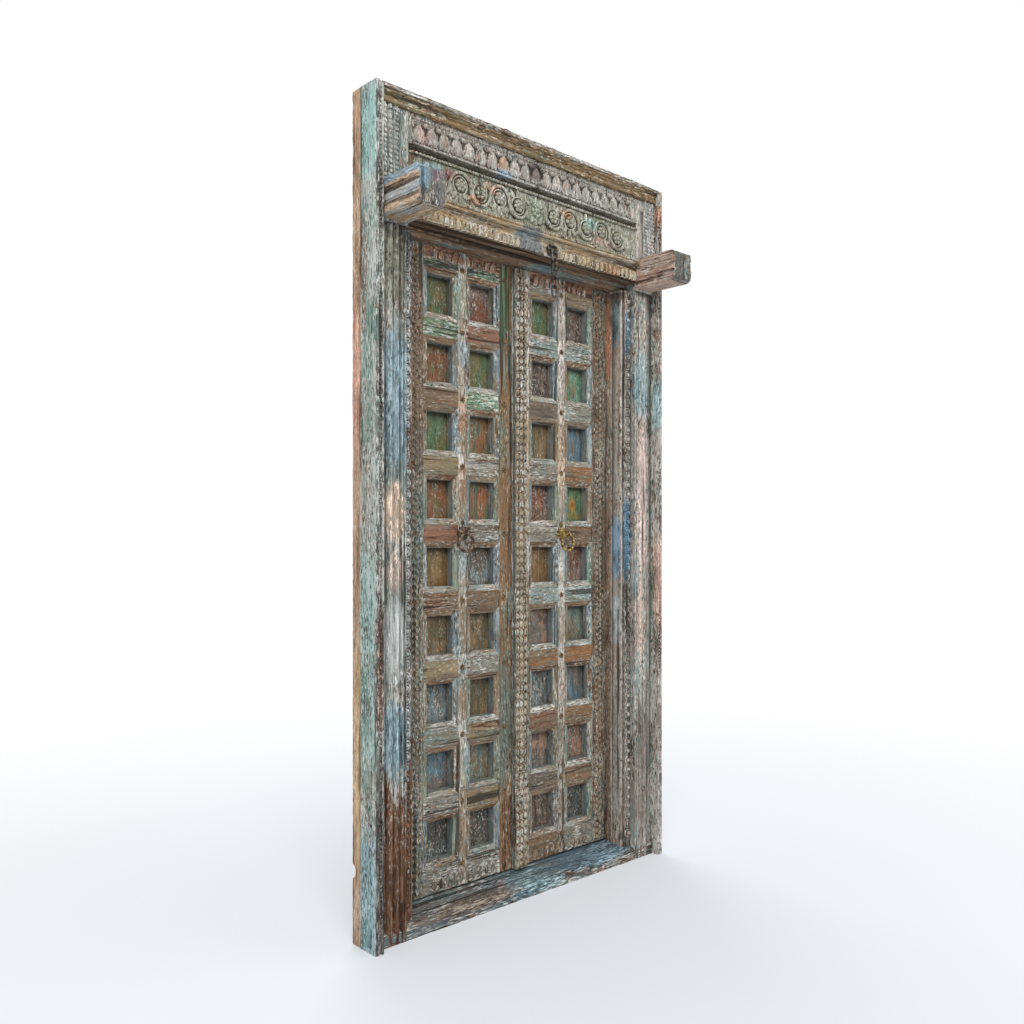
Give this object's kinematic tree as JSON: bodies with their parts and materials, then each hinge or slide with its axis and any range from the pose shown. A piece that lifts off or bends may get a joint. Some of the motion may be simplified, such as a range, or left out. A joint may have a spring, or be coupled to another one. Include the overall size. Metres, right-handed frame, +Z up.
{
  "type": "carved double door with frame",
  "caption": "Old carved double door with coffered leaves on wooden pivots in a moulded and carved frame, with ring pulls, a hanging chain and brackets at the lintel.",
  "frame": {"origin": "on the floor, at the middle of the width and of the frame's depth", "axes": "+Z up, -Y out of the carved front, +X to the right seen from the front"},
  "size_m": [1.15, 0.315, 2.204],
  "materials": {
    "frame_paint": "worn blue-grey paint on wood",
    "jamb_paint": "flaking layers of blue, cream and pink paint on wood",
    "trim_paint": "flaking grey-green paint on wood",
    "frieze_paint": "worn grey-white paint on carved wood",
    "head_paint": "brown wood with worn paint",
    "bracket_paint": "worn salmon and blue paint on wood",
    "bare_wood": "bare wood",
    "leaf_paint": "brown wood with worn green and grey paint",
    "panel_paint": "patches of green, rust and blue paint on wood",
    "astragal_wood": "worn carved wood",
    "stud_metal": "dull aged metal",
    "iron": "dark aged iron",
    "brass": "aged brass"
  },
  "bodies": {
    "frame": {"left_jamb": "jamb_paint", "right_jamb": "jamb_paint", "left_outer_trim": "trim_paint", "right_outer_trim": "trim_paint", "left_back_batten": "bare_wood", "right_back_batten": "bare_wood", "cornice": "head_paint", "upper_frieze": "frieze_paint", "lower_frieze": "frieze_paint", "head_beam": "bare_wood", "lintel_beam": "head_paint", "inner_head": "frame_paint", "left_bracket": "bracket_paint", "right_bracket": "bracket_paint", "threshold": "frame_paint", "pivot_beam": "bare_wood", "chain_staple": "iron"},
    "left_leaf": {"left_hinge_stile": "leaf_paint", "left_meeting_stile": "leaf_paint", "left_muntin": "leaf_paint", "left_rail_1": "leaf_paint", "left_rail_2": "leaf_paint", "left_rail_3": "leaf_paint", "left_rail_4": "leaf_paint", "left_rail_5": "leaf_paint", "left_rail_6": "leaf_paint", "left_rail_7": "leaf_paint", "left_rail_8": "leaf_paint", "left_rail_9": "leaf_paint", "left_rail_10": "leaf_paint", "left_outer_plank": "panel_paint", "left_inner_plank": "panel_paint", "left_studs": "stud_metal", "left_pull_boss": "iron"},
    "right_leaf": {"right_hinge_stile": "leaf_paint", "right_meeting_stile": "leaf_paint", "right_muntin": "leaf_paint", "right_rail_1": "leaf_paint", "right_rail_2": "leaf_paint", "right_rail_3": "leaf_paint", "right_rail_4": "leaf_paint", "right_rail_5": "leaf_paint", "right_rail_6": "leaf_paint", "right_rail_7": "leaf_paint", "right_rail_8": "leaf_paint", "right_rail_9": "leaf_paint", "right_rail_10": "leaf_paint", "right_outer_plank": "panel_paint", "right_inner_plank": "panel_paint", "right_studs": "stud_metal", "right_pull_boss": "brass", "astragal": "astragal_wood"},
    "left_ring": {"left_pull_ring": "iron"},
    "right_ring": {"right_pull_ring": "brass"},
    "link_1": {"chain_link_1": "iron"},
    "link_2": {"chain_link_2": "iron"},
    "link_3": {"chain_link_3": "iron"},
    "link_4": {"chain_link_4": "iron"},
    "link_5": {"chain_link_5": "iron"}
  },
  "joints": [
    {"name": "left_leaf_swing", "type": "hinge", "parent": "frame", "child": "left_leaf", "pos_m": [-0.42, 0.0845, 0], "axis": [0, 0, 1], "range_deg": [0, 95]},
    {"name": "right_leaf_swing", "type": "hinge", "parent": "frame", "child": "right_leaf", "pos_m": [0.42, 0.0845, 0], "axis": [0, 0, -1], "range_deg": [0, 95]},
    {"name": "left_ring_swing", "type": "hinge", "parent": "left_leaf", "child": "left_ring", "pos_m": [-0.2025, 0.0395, 1.06394], "axis": [-1, 0, 0], "range_deg": [0, 85]},
    {"name": "right_ring_swing", "type": "hinge", "parent": "right_leaf", "child": "right_ring", "pos_m": [0.2025, 0.0275, 1.06394], "axis": [-1, 0, 0], "range_deg": [0, 85]},
    {"name": "link_1_swing", "type": "hinge", "parent": "frame", "child": "link_1", "pos_m": [0.06, -0.054, 1.9042], "axis": [1, 0, 0], "range_deg": [-25, 12]},
    {"name": "link_2_swing", "type": "hinge", "parent": "link_1", "child": "link_2", "pos_m": [0.06, -0.054, 1.8779], "axis": [0, 1, 0], "range_deg": [-25, 25]},
    {"name": "link_3_swing", "type": "hinge", "parent": "link_2", "child": "link_3", "pos_m": [0.06, -0.054, 1.8516], "axis": [1, 0, 0], "range_deg": [-25, 25]},
    {"name": "link_4_swing", "type": "hinge", "parent": "link_3", "child": "link_4", "pos_m": [0.06, -0.054, 1.8253], "axis": [0, 1, 0], "range_deg": [-25, 25]},
    {"name": "link_5_swing", "type": "hinge", "parent": "link_4", "child": "link_5", "pos_m": [0.06, -0.054, 1.799], "axis": [1, 0, 0], "range_deg": [-25, 25]}
  ]
}
